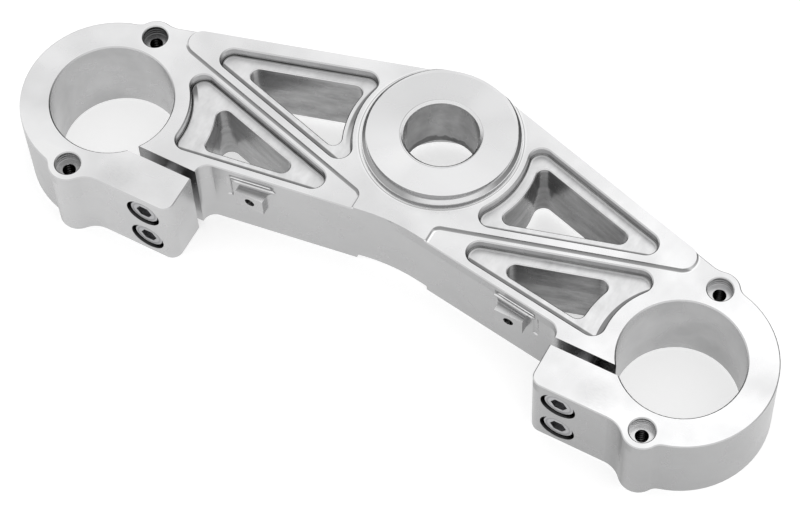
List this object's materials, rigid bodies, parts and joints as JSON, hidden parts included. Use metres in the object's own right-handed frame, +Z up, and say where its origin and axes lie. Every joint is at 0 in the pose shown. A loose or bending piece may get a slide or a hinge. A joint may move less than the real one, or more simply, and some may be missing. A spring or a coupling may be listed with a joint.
{
  "type": "motorcycle triple clamp",
  "caption": "Milled fork yoke with slotted fork clamps, socket head pinch bolts, windowed web and a raked steering stem boss.",
  "frame": {"origin": "on the stem axis, level with the top faces of the fork clamps", "axes": "+X along the line from one fork to the other, -Y towards the forks and the front, +Z up along the fork tubes"},
  "size_m": [0.321, 0.1145, 0.0448],
  "materials": {
    "billet": "satin machined, clear",
    "bolt_steel": "plain grey steel"
  },
  "bodies": {
    "root": {"clamp_body": "billet", "pinch_bolt_left_upper": "bolt_steel", "pinch_bolt_left_lower": "bolt_steel", "pinch_bolt_right_upper": "bolt_steel", "pinch_bolt_right_lower": "bolt_steel"}
  },
  "joints": []
}
